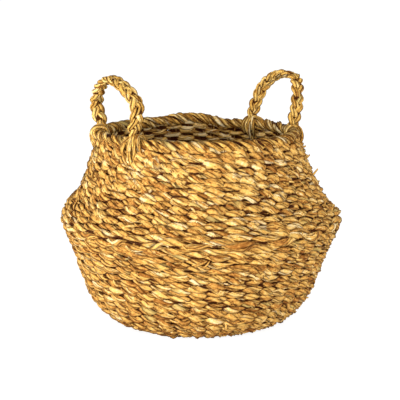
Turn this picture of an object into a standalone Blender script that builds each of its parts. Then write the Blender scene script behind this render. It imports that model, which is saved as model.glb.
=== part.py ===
# Belly basket: a seagrass basket woven on forty-four uprights, with a folded belly,
# a rolled border and two plaited handles. Lengths are in metres, and +Z is up.
import math

import bmesh
import bpy
from mathutils import Vector

# Driving sizes of the basket body
base_radius = 0.0921
belly_radius = 0.175
belly_height = 0.1326
collar_radius = 0.1251
collar_height = 0.2294

# Shape of the two walls, as shares of their spread and of their rise, and how many steps
# a smooth curve takes between two of them
lower_wall_shares = [(0.0, 0.0), (0.24, 0.055), (0.50, 0.205), (0.76, 0.60), (1.0, 1.0)]
upper_wall_shares = [(0.0, 0.0), (0.50, 0.325), (0.74, 0.61), (1.0, 1.0)]
curve_step_count = 12

# The weave: a skin of front passes, the uprights, and a skin of back passes. Each ridge
# of a skin stands for one repeat, two rows woven over one upright and under the next
skin_thickness = 0.0032
stake_thickness = 0.0024
stake_width = 0.0055
clearance = 0.0003
seam_trim_share = 0.6
row_depth = 0.0012
lower_row_pitch = 0.0090
upper_row_pitch = 0.0102

# The uprights cross at the base, eleven over eleven, and fan out to forty-four
lane_count = 11
lane_room = 0.0008
fan_start_share = 0.56
fan_end_share = 0.93

# The rolled border
border_radius = 0.0065
border_lobe_depth = 0.0014
border_lobe_count = 3
border_step_count = 2
border_turn_each_stake = math.radians(90.0)

# The loops that carry the handles, through the wall and over the border
root_stake_gaps = 3
root_drop = 0.0270
root_thickness = 0.0035
root_corner_radius = 0.0030
root_side_room = 0.0010
root_arc_step_count = 8
cut_overrun = 0.0040

# The handles, each a plait of three strands. They are made by hand and differ a little
plait_width = 0.0165
strand_width = 0.0056
strand_thickness = 0.0034
strand_tip_radius = 0.0020
plait_pitch = 0.0360
plait_weave_share = 1.1
foot_length = 0.0100
handle_rise = 0.0560
right_handle_lean = math.radians(15.0)
left_handle_lean = math.radians(7.0)
right_handle_spread_share = 0.0
left_handle_spread_share = 0.20
spread_rise = 0.0260
arch_nudge_share = 0.001
step_nudge_share = 0.1
strand_side_count = 6
strand_step_count = 8
foot_order = (0.0, -1.0, 1.0)

# Surface colours, as linear red, green and blue
golden_weave = (0.60, 0.37, 0.12, 1.0)
shaded_weave = (0.36, 0.22, 0.08, 1.0)
pale_upright = (0.66, 0.47, 0.21, 1.0)
border_straw = (0.64, 0.41, 0.14, 1.0)
handle_straw = (0.56, 0.34, 0.11, 1.0)
weave_roughness = 0.72
plait_roughness = 0.66

# Edges sharper than these are left sharp when a piece is shaded smooth
flat_sharp_angle = math.radians(20.0)
strand_sharp_angle = math.radians(75.0)

# Worked out from the sizes above
stake_count = 4 * lane_count
stake_step = 2.0 * math.pi / stake_count
facet_share = math.cos(stake_step / 2.0)
pocket_depth = stake_thickness + 2.0 * clearance
layer_step = stake_thickness + clearance
wall_thickness = 2.0 * skin_thickness + pocket_depth
lane_pitch = stake_width + lane_room
inner_skin_depth = skin_thickness + pocket_depth
stake_depth = skin_thickness + pocket_depth / 2.0
fan_start = base_radius * fan_start_share
fan_end = base_radius * fan_end_share
seam_trim = clearance * seam_trim_share


def clear_scene():
    for item in list(bpy.data.objects):
        bpy.data.objects.remove(item, do_unlink=True)


def plain_material(name, colour, roughness):
    material = bpy.data.materials.new(name)
    material.use_nodes = True
    shader = material.node_tree.nodes["Principled BSDF"]
    shader.inputs["Base Color"].default_value = colour
    shader.inputs["Roughness"].default_value = roughness
    shader.inputs["Metallic"].default_value = 0.0
    material.diffuse_color = colour
    return material


def finish_object(name, mesh_data, material, sharp_angle=flat_sharp_angle):
    bmesh.ops.recalc_face_normals(mesh_data, faces=mesh_data.faces)
    mesh = bpy.data.meshes.new(name)
    mesh_data.to_mesh(mesh)
    mesh_data.free()
    mesh.materials.append(material)
    mesh.shade_smooth()
    mesh.set_sharp_from_angle(angle=sharp_angle)
    item = bpy.data.objects.new(name, mesh)
    bpy.context.scene.collection.objects.link(item)
    return item


# Curves and outlines, as (radius, height) pairs

def smooth_curve(points, steps):
    spans = [(b - a).length for a, b in zip(points, points[1:])]
    slopes = [(b - a) / span for a, b, span in zip(points, points[1:], spans)]
    tangents = [slopes[0]]
    for k in range(1, len(slopes)):
        weight = spans[k - 1] + spans[k]
        tangents.append((slopes[k - 1] * spans[k] + slopes[k] * spans[k - 1]) / weight)
    tangents.append(slopes[-1])
    curve = [points[0]]
    for k, span in enumerate(spans):
        for step in range(1, steps + 1):
            t = step / steps
            start_share = 2.0 * t ** 3 - 3.0 * t ** 2 + 1.0
            leave_share = t ** 3 - 2.0 * t ** 2 + t
            arrive_share = t ** 3 - t ** 2
            point = points[k] * start_share + points[k + 1] * (1.0 - start_share)
            point += (tangents[k] * leave_share + tangents[k + 1] * arrive_share) * span
            curve.append(point)
    return curve


def curve_length(curve):
    return sum((b - a).length for a, b in zip(curve, curve[1:]))


def point_along(curve, distance):
    for a, b in zip(curve, curve[1:]):
        span = (b - a).length
        if distance <= span:
            return a.lerp(b, distance / span)
        distance -= span
    return curve[-1]


def inward(direction):
    return Vector((-direction.y, direction.x))


# Vectors that set each point of a line in by one unit of depth, with mitred corners
def mitres(line):
    normals = [inward((b - a).normalized()) for a, b in zip(line, line[1:])]
    joined = [(a + b) / (1.0 + a.dot(b)) for a, b in zip(normals, normals[1:])]
    return [normals[0]] + joined + [normals[-1]]


def wall_curve(shares, start, end):
    spread = end.x - start.x
    rise = end.y - start.y
    points = [Vector((start.x + spread * out, start.y + rise * up)) for out, up in shares]
    return smooth_curve(points, curve_step_count)


base_edge = Vector((base_radius, 0.0))
belly_edge = Vector((belly_radius, belly_height))
collar_edge = Vector((collar_radius, collar_height))
lower_curve = wall_curve(lower_wall_shares, base_edge, belly_edge)
upper_curve = wall_curve(upper_wall_shares, belly_edge, collar_edge)

# Stations of the pocket that holds the uprights, closest together round the heel
lower_station_shares = [0.0, 0.11, 0.21, 0.33, 0.64, 1.0]
upper_station_shares = [0.0, 0.30, 0.62, 1.0]


def wall_stations(curve, shares):
    length = curve_length(curve)
    return [point_along(curve, length * share) for share in shares]


lower_stations = wall_stations(lower_curve, lower_station_shares)
upper_stations = wall_stations(upper_curve, upper_station_shares)
base_stations = [Vector((0.0, 0.0)), Vector((fan_start, 0.0)), Vector((fan_end, 0.0))]
stations = base_stations + lower_stations + upper_stations[1:]
station_mitres = mitres(stations)
edge_index = len(base_stations)
belly_index = edge_index + len(lower_stations) - 1
collar_index = len(stations) - 1


def set_in(index, depth):
    return stations[index] + station_mitres[index] * depth


def direction_at(index):
    return (stations[index + 1] - stations[index]).normalized()


# A run of stations at one depth, drawn back a little at each end to leave the seams open
def seam_run(first, last, depth):
    run = [set_in(index, depth) for index in range(first, last + 1)]
    run[0] = run[0] + direction_at(first) * seam_trim
    run[-1] = run[-1] - direction_at(last - 1) * seam_trim
    return run


# The woven rows of one wall, two points a row: ridges at the belly, a groove at the far end
def row_run(first, last, curve, pitch, ridge_at_start):
    length = curve_length(curve)
    halves = 2 * round(length / pitch) - 1
    places = [point_along(curve, length * k / halves) for k in range(halves + 1)]
    places[0] = places[0] + direction_at(first) * seam_trim
    places[-1] = places[-1] - direction_at(last - 1) * seam_trim
    set_backs = mitres(places)
    set_backs[0] = station_mitres[first]
    set_backs[-1] = station_mitres[last]
    run = []
    for k, place in enumerate(places):
        is_ridge = (k % 2 == 0) == ridge_at_start
        run.append(place if is_ridge else place + set_backs[k] * row_depth)
    return run


# Solids

def lathe(outline, closed):
    mesh_data = bmesh.new()
    rings = []
    for point in outline:
        if point.x == 0.0:
            rings.append([mesh_data.verts.new((0.0, 0.0, point.y))] * stake_count)
            continue
        ring = []
        for k in range(stake_count):
            angle = k * stake_step
            x = point.x * math.cos(angle)
            y = point.x * math.sin(angle)
            ring.append(mesh_data.verts.new((x, y, point.y)))
        rings.append(ring)
    pairs = list(zip(rings, rings[1:]))
    if closed:
        pairs.append((rings[-1], rings[0]))
    for low, high in pairs:
        for k in range(stake_count):
            nxt = (k + 1) % stake_count
            corners = [low[k], low[nxt], high[nxt], high[k]]
            mesh_data.faces.new(list(dict.fromkeys(corners)))
    return mesh_data


# A solid through a row of rings; its ends are joined, or closed flat or with a point
def loft(rings, joined=False, tips=None):
    mesh_data = bmesh.new()
    loops = [[mesh_data.verts.new(point) for point in ring] for ring in rings]
    pairs = list(zip(loops, loops[1:]))
    if joined:
        pairs.append((loops[-1], loops[0]))
    for a, b in pairs:
        for k in range(len(a)):
            nxt = (k + 1) % len(a)
            mesh_data.faces.new((a[k], a[nxt], b[nxt], b[k]))
    if joined:
        return mesh_data
    for end, loop in enumerate((loops[0], loops[-1])):
        if tips is None:
            mesh_data.faces.new(loop)
            continue
        tip = mesh_data.verts.new(tips[end])
        for k in range(len(loop)):
            mesh_data.faces.new((loop[k], loop[(k + 1) % len(loop)], tip))
    return mesh_data


def spatial(point, angle):
    return Vector((point.x * math.cos(angle), point.x * math.sin(angle), point.y))


def base_underside(material):
    lower_face = [Vector((0.0, 0.0)), seam_run(0, edge_index, 0.0)[-1]]
    upper_face = [seam_run(0, edge_index, skin_thickness)[-1], Vector((0.0, skin_thickness))]
    return finish_object("base_underside", lathe(lower_face + upper_face, False), material)


def base_floor(material):
    low = seam_run(0, edge_index, inner_skin_depth)
    high = seam_run(0, edge_index, wall_thickness)
    for face, depth in ((low, inner_skin_depth), (high, wall_thickness)):
        face[0] = Vector((0.0, depth + layer_step))
        face[1] = Vector((fan_start, depth + layer_step))
        face[2] = Vector((fan_end, depth))
    return finish_object("base_floor", lathe(low + high[::-1], False), material)


def wall_skin(name, outer_line, inner_line, material):
    return finish_object(name, lathe(outer_line + inner_line[::-1], True), material)


def wall_skins(outside, inside):
    lower_rows = row_run(edge_index, belly_index, lower_curve, lower_row_pitch, False)
    upper_rows = row_run(belly_index, collar_index, upper_curve, upper_row_pitch, True)
    walls = [("lower", edge_index, belly_index, lower_rows)]
    walls.append(("upper", belly_index, collar_index, upper_rows))
    skins = {}
    for word, first, last, rows in walls:
        pocket_face = seam_run(first, last, skin_thickness)
        name = word + "_wall_outer"
        skins[name] = wall_skin(name, rows, pocket_face, outside)
        back_face = seam_run(first, last, inner_skin_depth)
        front_face = seam_run(first, last, wall_thickness)
        name = word + "_wall_inner"
        skins[name] = wall_skin(name, back_face, front_face, inside)
    return skins


# Half of one upright: in its lane at the base, out along its own angle, and up the wall
def stake_half(lane, layer_rise):
    angle = lane * stake_step
    half_step = lane if lane else 1
    turn_radius = half_step * lane_pitch / math.sin(half_step * stake_step)
    level = stake_depth + layer_rise
    along = Vector((1.0, 0.0, 0.0))
    lane_side = Vector((0.0, 1.0, 0.0))
    wall_side = Vector((-math.sin(angle), math.cos(angle), 0.0))
    turn_side = (lane_side + wall_side) / (1.0 + lane_side.dot(wall_side))
    turn_place = along * (turn_radius * math.cos(angle)) + lane_side * (lane * lane_pitch)
    up = Vector((0.0, 0.0, 1.0))
    places = [(turn_place + up * level, turn_side, up)]
    if layer_rise > 0.0:
        for radius, height in ((fan_start, level), (fan_end, stake_depth)):
            places.append((spatial(Vector((radius * facet_share, height)), angle), wall_side, up))
    for index in range(edge_index, collar_index + 1):
        point = set_in(index, stake_depth)
        point.x *= facet_share
        normal = spatial(station_mitres[index], angle)
        places.append((spatial(point, angle), wall_side, normal))
    return places


def stake_ring(place, side, normal):
    across = side * (stake_width / 2.0)
    through = normal * (stake_thickness / 2.0)
    return [place - across - through, place + across - through,
            place + across + through, place - across + through]


def stakes(material):
    half_lanes = lane_count // 2
    layers = (("low", 0.0, 0.0), ("high", layer_step, math.pi / 2.0))
    for word, layer_rise, quarter_turn in layers:
        for lane in range(-half_lanes, half_lanes + 1):
            half = [stake_ring(*place) for place in stake_half(lane, layer_rise)]
            mirrored = []
            for ring in reversed(half):
                mirrored.append([Vector((-point.x, point.y, point.z)) for point in ring])
            name = "upright_%s_%02d" % (word, lane + half_lanes + 1)
            item = finish_object(name, loft(mirrored + half), material)
            item.rotation_euler.z = quarter_turn + stake_step / 2.0


# The border's centre line stands square on the middle of the wall's top edge
wall_top_direction = direction_at(collar_index - 1)
wall_top_middle = set_in(collar_index, wall_thickness / 2.0)
border_centre = wall_top_middle + wall_top_direction * (border_radius + clearance)


def rolled_border(material):
    steps = stake_count * border_step_count
    step_turn = border_turn_each_stake / border_step_count
    sides = 2 * border_lobe_count
    rings = []
    for k in range(steps):
        angle = 2.0 * math.pi * k / steps
        ring = []
        for side in range(sides):
            reach = border_radius - (border_lobe_depth if side % 2 else 0.0)
            turn = 2.0 * math.pi * side / sides + k * step_turn
            offset = Vector((math.cos(turn), math.sin(turn))) * reach
            ring.append(spatial(border_centre + offset, angle))
        rings.append(ring)
    return finish_object("rolled_border", loft(rings, joined=True), material)


# The line that a root loop follows, round the border and through the wall below it
root_half_step = math.pi / root_arc_step_count / 2.0
root_arc_radius = (border_radius + clearance + root_thickness / 2.0) / math.cos(root_half_step)
root_top = border_centre.y + root_arc_radius + root_thickness / 2.0 / math.cos(root_half_step)
root_hole = border_centre - wall_top_direction * root_drop
root_gap_width = 2.0 * root_hole.x * math.sin(stake_step / 2.0) - stake_width
root_width = root_gap_width - 2.0 * root_side_room
handle_root_angle = root_stake_gaps * stake_step


def root_line():
    across = -inward(wall_top_direction)
    along = wall_top_direction
    line = []
    for k in range(root_arc_step_count + 1):
        turn = math.pi * k / root_arc_step_count
        lift = along * (root_arc_radius * math.sin(turn))
        line.append(border_centre + across * (root_arc_radius * math.cos(turn)) + lift)
    corner = root_arc_radius - root_corner_radius
    for side in (-1.0, 1.0):
        turns = (0.0, 0.25, 0.5) if side < 0.0 else (0.5, 0.25, 0.0)
        for turn in turns:
            out = math.cos(turn * math.pi) * root_corner_radius + corner
            down = math.sin(turn * math.pi) * root_corner_radius - root_corner_radius
            line.append(root_hole + across * (side * out) - along * down)
    return line


def root_loop(name, angle, material):
    line = root_line()
    count = len(line)
    side = Vector((0.0, root_width / 2.0, 0.0))
    rings = []
    for k, point in enumerate(line):
        before = (point - line[k - 1]).normalized()
        after = (line[(k + 1) % count] - point).normalized()
        normal = (inward(before) + inward(after)) / (1.0 + before.dot(after))
        reach = normal * (root_thickness / 2.0)
        inner = spatial(point + reach, 0.0)
        outer = spatial(point - reach, 0.0)
        rings.append([outer - side, outer + side, inner + side, inner - side])
    item = finish_object(name, loft(rings, joined=True), material)
    item.rotation_euler.z = angle
    return item


root_places = [
    ("right_handle_root_front", -handle_root_angle),
    ("right_handle_root_back", handle_root_angle),
    ("left_handle_root_back", math.pi - handle_root_angle),
    ("left_handle_root_front", math.pi + handle_root_angle),
]


# Holes for the root loops, through both skins of the upper wall
def cut_root_holes(skins, material):
    across = -inward(wall_top_direction)
    reach = across * (wall_thickness / 2.0 + cut_overrun)
    lift = wall_top_direction * (root_thickness / 2.0 + clearance)
    side = Vector((0.0, root_width / 2.0 + clearance, 0.0))
    corners = [root_hole - reach - lift, root_hole + reach - lift,
               root_hole + reach + lift, root_hole - reach + lift]
    rings = [[spatial(corner, 0.0) - side for corner in corners],
             [spatial(corner, 0.0) + side for corner in corners]]
    for k, (name, angle) in enumerate(root_places):
        cutter = finish_object("hole_cutter_%d" % (k + 1), loft(rings), material)
        cutter.rotation_euler.z = angle
        cutter.hide_render = True
        cutter.display_type = 'WIRE'
        for skin_name in ("upper_wall_outer", "upper_wall_inner"):
            cut = skins[skin_name].modifiers.new(name + "_hole", 'BOOLEAN')
            cut.operation = 'DIFFERENCE'
            cut.solver = 'EXACT'
            cut.object = cutter


# The handles: an arch on two short straight legs, its feet on the hinge axis
root_chord_half = border_centre.x * math.sin(handle_root_angle)
hinge_reach = border_centre.x * math.cos(handle_root_angle)
hinge_height = root_top + clearance + strand_tip_radius
leg_length = handle_rise - root_chord_half
arch_length = math.pi * root_chord_half
plait_length = arch_length + 2.0 * leg_length
woven_length = plait_length - 2.0 * foot_length
plait_cycles = round(woven_length / plait_pitch)
plait_swing = (plait_width - strand_width) / 2.0
plait_weave = strand_thickness * plait_weave_share
foot_pitch = 2.0 * strand_tip_radius + clearance


def ease(share):
    share = min(max(share, 0.0), 1.0)
    return share * share * (3.0 - 2.0 * share)


# Place in the handle's own plane, at a distance along its arch. A spread handle grows
# wider than its feet over its lowest part
def arch_place(distance, spread_share):
    if distance < leg_length:
        place = Vector((0.0, -root_chord_half, distance))
    elif distance > leg_length + arch_length:
        place = Vector((0.0, root_chord_half, plait_length - distance))
    else:
        turn = (distance - leg_length) / root_chord_half
        place = Vector((0.0, -math.cos(turn), math.sin(turn))) * root_chord_half
        place.z += leg_length
    place.y *= 1.0 + spread_share * ease(place.z / spread_rise)
    return place


def arch_direction(distance, spread_share):
    nudge = plait_length * arch_nudge_share
    ahead = arch_place(min(distance + nudge, plait_length), spread_share)
    behind = arch_place(max(distance - nudge, 0.0), spread_share)
    return (ahead - behind).normalized()


# Centre of one strand. The plait is broad square to the arch, and at the feet the ends
# lie side by side along the border
def strand_place(strand, distance, spread_share):
    crossed_share = (distance - foot_length) / woven_length
    crossed_share = min(max(crossed_share, 0.0), 1.0)
    phase = 2.0 * math.pi * (plait_cycles * crossed_share + strand / 3.0)
    body = ease(min(distance, plait_length - distance) / foot_length)
    foot_across = foot_pitch * foot_order[strand] * (1.0 - body)
    across = plait_swing * math.sin(phase) * body
    through = plait_weave * math.sin(2.0 * phase) * body
    out = Vector((1.0, 0.0, 0.0))
    side = out.cross(arch_direction(distance, spread_share))
    place = arch_place(distance, spread_share)
    return place + out * across + side * (through + foot_across)


def strand_rings(strand, spread_share):
    count = round(strand_step_count * plait_length / plait_pitch)
    span = plait_length / count
    nudge = span * step_nudge_share
    rings = []
    for k in range(count + 1):
        distance = k * span
        centre = strand_place(strand, distance, spread_share)
        ahead = strand_place(strand, min(distance + nudge, plait_length), spread_share)
        behind = strand_place(strand, max(distance - nudge, 0.0), spread_share)
        direction = (ahead - behind).normalized()
        side = Vector((1.0, 0.0, 0.0)).cross(direction).normalized()
        out = direction.cross(side)
        body = ease(min(distance, plait_length - distance) / foot_length)
        half_width = strand_tip_radius + (strand_width / 2.0 - strand_tip_radius) * body
        half_depth = strand_tip_radius + (strand_thickness / 2.0 - strand_tip_radius) * body
        rings.append((centre, direction, out * half_width, side * half_depth))
    return rings


def handle_strand(name, strand, spread_share, pivot, material):
    rings = []
    placed = strand_rings(strand, spread_share)
    slant = math.sqrt(0.5)
    for centre, direction, breadth, depth in placed:
        ring = []
        for corner in range(strand_side_count):
            turn = 2.0 * math.pi * corner / strand_side_count
            ring.append(centre + breadth * math.cos(turn) + depth * math.sin(turn))
        rings.append(ring)
    ends = []
    for end, sign in ((0, -1.0), (-1, 1.0)):
        centre, direction = placed[end][:2]
        push = direction * (sign * strand_tip_radius)
        cap = [centre + (point - centre) * slant + push * slant for point in rings[end]]
        ends.append((cap, centre + push))
    rings = [ends[0][0]] + rings + [ends[1][0]]
    mesh_data = loft(rings, tips=(ends[0][1], ends[1][1]))
    item = finish_object(name, mesh_data, material, strand_sharp_angle)
    item.parent = pivot
    return item


def handle(word, facing, lean, spread_share, material):
    pivot = bpy.data.objects.new(word + "_handle_pivot", None)
    bpy.context.scene.collection.objects.link(pivot)
    pivot.empty_display_size = root_chord_half
    reach = Vector((math.cos(facing), math.sin(facing), 0.0)) * hinge_reach
    pivot.location = reach + Vector((0.0, 0.0, hinge_height))
    pivot.rotation_euler = (0.0, lean, facing)
    for strand in range(3):
        name = "%s_handle_strand_%d" % (word, strand + 1)
        handle_strand(name, strand, spread_share, pivot, material)


def build_basket():
    clear_scene()
    outside = plain_material("golden_seagrass", golden_weave, weave_roughness)
    inside = plain_material("shaded_seagrass", shaded_weave, weave_roughness)
    upright = plain_material("pale_upright", pale_upright, weave_roughness)
    border = plain_material("border_seagrass", border_straw, plait_roughness)
    plait = plain_material("plaited_seagrass", handle_straw, plait_roughness)
    base_underside(outside)
    base_floor(inside)
    skins = wall_skins(outside, inside)
    stakes(upright)
    rolled_border(border)
    for name, angle in root_places:
        root_loop(name, angle, plait)
    cut_root_holes(skins, border)
    handle("right", 0.0, right_handle_lean, right_handle_spread_share, plait)
    handle("left", math.pi, left_handle_lean, left_handle_spread_share, plait)


build_basket()
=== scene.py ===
import math

import bpy
import numpy as np
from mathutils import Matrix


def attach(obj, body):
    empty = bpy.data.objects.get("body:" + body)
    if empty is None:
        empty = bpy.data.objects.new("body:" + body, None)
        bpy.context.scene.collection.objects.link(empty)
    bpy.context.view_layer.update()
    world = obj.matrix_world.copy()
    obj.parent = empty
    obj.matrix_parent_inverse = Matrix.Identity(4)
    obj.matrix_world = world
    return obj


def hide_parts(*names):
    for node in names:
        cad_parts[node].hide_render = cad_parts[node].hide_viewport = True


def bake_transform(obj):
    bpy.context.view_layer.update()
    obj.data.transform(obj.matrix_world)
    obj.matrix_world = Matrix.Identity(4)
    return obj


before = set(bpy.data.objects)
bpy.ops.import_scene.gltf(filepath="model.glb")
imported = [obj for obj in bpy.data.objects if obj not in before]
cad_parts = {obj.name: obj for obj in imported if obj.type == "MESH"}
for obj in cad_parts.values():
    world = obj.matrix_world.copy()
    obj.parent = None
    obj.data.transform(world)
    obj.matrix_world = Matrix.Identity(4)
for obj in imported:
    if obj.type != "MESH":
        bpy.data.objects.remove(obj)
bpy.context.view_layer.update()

mm = 0.001
fullTurn = 2.0 * math.pi

# The camera stands where the photograph was taken from, the handles turned 28 degrees
camera = {
    "place": (-0.6481, -1.2189, 0.4198),
    "pitchDown": 11.07,
    "yaw": -28.0,
    "lens": 101.6,
    "sensor": 36.0,
}


def addObject(name, data):
    item = bpy.data.objects.new(name, data)
    bpy.context.scene.collection.objects.link(item)
    return item


def addCamera():
    data = bpy.data.cameras.new("photoCamera")
    data.lens = camera["lens"]
    data.sensor_width = camera["sensor"]
    item = addObject("photoCamera", data)
    item.location = camera["place"]
    item.rotation_euler = (math.radians(90.0 - camera["pitchDown"]), 0.0,
                           math.radians(camera["yaw"]))
    bpy.context.scene.camera = item


addCamera()
print("camera set")


# sRGB hex to linear, the one place where colours are turned
def linear(hexColour):
    channels = [int(hexColour[k:k + 2], 16) / 255.0 for k in (1, 3, 5)]
    turned = [c / 12.92 if c <= 0.04045 else ((c + 0.055) / 1.055) ** 2.4 for c in channels]
    return (*turned, 1.0)


# Adds one node with its settings, its input values and its links
def addNode(tree, kind, settings=None, values=None, links=None):
    node = tree.nodes.new(kind)
    for key, value in (settings or {}).items():
        setattr(node, key, value)
    for key, value in (values or {}).items():
        node.inputs[key].default_value = value
    for key, socket in (links or {}).items():
        tree.links.new(socket, node.inputs[key])
    return node


def emptyTree(owner):
    owner.use_nodes = True
    owner.node_tree.nodes.clear()
    return owner.node_tree


# Dried seagrass, laid as half-round blades: straw to orange-brown, some still olive, with
# lengthwise fibres, short cracks and a dull waxy gloss
seagrass = {
    "bladeHalf": 2.3,  # mm, half the breadth of a common blade
    "fibreEach": 1.3,  # mm across the blade
    "fibreRun": 10.0,  # mm along the blade
    "fibreDetail": 3.0,
    "fibreRough": 0.62,
    "fibreContrast": 0.62,
    "seedApart": 91.0,  # so that no two blades share their fibres
    "crackSize": 3.2,  # mm, short cracks, creases and frayed skin
    "crackDetail": 4.0,
    "crackRough": 0.6,
    "crackContrast": 0.64,
    "patchSize": 45.0,  # mm, slow change over the basket
    "patchDetail": 2.0,
    "patchRough": 0.5,
    "patchContrast": 0.16,
    "bumpHeight": 0.40,  # mm
    "splitStart": 0.44,  # fibre values under which a blade is split, and fully dark
    "splitEnd": 0.31,
    "splitShade": 0.90,
    "depthStart": 0.41,  # where the painted shade deep in the weave starts, and where it is full
    "depthEnd": 0.63,
    "deepShade": 0.97,  # painted shade: how far the colour turns to shadeBrown there
    "edgeShade": 0.96,  # and at a blade's edge, painted shade where the blades meet
    "edgePower": 2.6,
    "wideEdgePower": 1.8,  # on the broader blades of the border and the handles
    "shadeBrown": "#4C2207",
    "olive": "#A9975A",
    "roughness": 0.56,
    "uprightRoughness": 0.62,
    "gloss": 0.07,
    "index": 1.45,
    "rampPlaces": (0.0, 0.22, 0.45, 0.65, 0.84, 1.0),
    "strawRamp": ("#8B5721", "#AE7837", "#CA984A", "#D6AA5B", "#DCB671", "#E5CA96"),
    "borderRamp": ("#7A4A18", "#A8742F", "#CA9A48", "#DBB05E", "#E6C27A", "#EED6A2"),
    "handleRamp": ("#84531E", "#B17F37", "#D0A14D", "#E0B661", "#E8C47B", "#EFD6A0"),
}


def seagrassMaterial(name, ramp, **changes):
    look = {**seagrass, **changes}
    material = bpy.data.materials.new(name)
    tree = emptyTree(material)

    def maths(operation, values, *sources, **settings):
        return addNode(tree, "ShaderNodeMath", {"operation": operation, **settings}, values,
                       dict(enumerate(sources))).outputs[0]

    def noise(word, scale, vector):
        values = {"Scale": scale, "Detail": seagrass[word + "Detail"],
                  "Roughness": seagrass[word + "Rough"]}
        return addNode(tree, "ShaderNodeTexNoise", None, values, {"Vector": vector}).outputs["Fac"]

    def aboutZero(word, source):
        contrast = seagrass[word + "Contrast"]
        return maths("MULTIPLY_ADD", {1: 2.0 * contrast, 2: -contrast}, source)

    def curve(source, start, end, top=1.0):
        return addNode(tree, "ShaderNodeMapRange", {"interpolation_type": "SMOOTHSTEP"},
                       {"From Min": start, "From Max": end, "To Max": top},
                       {"Value": source}).outputs[0]

    def mix(blend, share, under, over):
        return addNode(tree, "ShaderNodeMix", {"data_type": "RGBA", "blend_type": blend},
                       {"B": linear(over)}, {0: share, "A": under}).outputs[2]

    read = {key: addNode(tree, "ShaderNodeAttribute", {"attribute_name": key}).outputs["Fac"]
            for key in ("tone", "along", "across", "bladeSeed", "depth", "olive")}
    place = addNode(tree, "ShaderNodeTexCoord").outputs["Object"]
    side = maths("MULTIPLY", {1: look["bladeHalf"] / look["fibreEach"]}, read["across"])
    run = maths("MULTIPLY", {1: 1.0 / (look["fibreRun"] * mm)}, read["along"])
    apart = maths("MULTIPLY", {1: look["seedApart"]}, read["bladeSeed"])
    fibrePlace = addNode(tree, "ShaderNodeCombineXYZ", None, None, {0: side, 1: run, 2: apart})
    fibre = noise("fibre", 1.0, fibrePlace.outputs[0])
    crack = noise("crack", 1.0 / (look["crackSize"] * mm), place)
    patch = noise("patch", 1.0 / (look["patchSize"] * mm), place)
    slowShift = maths("ADD", None, aboutZero("crack", crack), aboutZero("patch", patch))
    shift = maths("ADD", None, aboutZero("fibre", fibre), slowShift)
    shade = maths("ADD", None, read["tone"], shift, use_clamp=True)
    colours = addNode(tree, "ShaderNodeValToRGB", None, None, {"Fac": shade})
    stops = colours.color_ramp.elements
    while len(stops) < len(look[ramp]):
        stops.new(0.5)
    for stop, where, hexColour in zip(stops, look["rampPlaces"], look[ramp]):
        stop.position = where
        stop.color = linear(hexColour)
    greened = mix("MIX", read["olive"], colours.outputs["Color"], look["olive"])

    # Painted shade darkens the colour between the blades and deep in the weave, where shade falls;
    # the blades' splits are dark as well
    deep = maths("MULTIPLY", {1: look["deepShade"]},
                 curve(read["depth"], look["depthStart"], look["depthEnd"]))
    edge = maths("POWER", {1: look["edgePower"]}, maths("ABSOLUTE", None, read["across"]))
    edgeDark = maths("MULTIPLY", {1: look["edgeShade"]}, edge)
    split = curve(fibre, look["splitStart"], look["splitEnd"], look["splitShade"])
    dark = maths("MAXIMUM", None, deep, maths("MAXIMUM", None, split, edgeDark))
    shaded = mix("MULTIPLY", dark, greened, look["shadeBrown"])
    bump = addNode(tree, "ShaderNodeBump", None,
                   {"Strength": 1.0, "Distance": look["bumpHeight"] * mm}, {"Height": fibre})
    shader = addNode(tree, "ShaderNodeBsdfPrincipled", None,
                     {"Roughness": look["roughness"], "IOR": look["index"],
                      "Specular IOR Level": look["gloss"]},
                     {"Base Color": shaded, "Normal": bump.outputs[0]})
    addNode(tree, "ShaderNodeOutputMaterial", None, None, {"Surface": shader.outputs[0]})
    return material


wideEdges = {"edgePower": seagrass["wideEdgePower"]}
wovenSeagrass = seagrassMaterial("wovenDriedSeagrass", "strawRamp")
borderSeagrass = seagrassMaterial("rolledDriedSeagrass", "borderRamp", **wideEdges)
plaitedSeagrass = seagrassMaterial("plaitedDriedSeagrass", "handleRamp", **wideEdges)
uprightSeagrass = seagrassMaterial("uprightDriedSeagrass", "strawRamp",
                                   roughness=seagrass["uprightRoughness"])
print("materials made")

bladeShape = {"sides": 6, "thicknessShare": 0.50}


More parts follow.
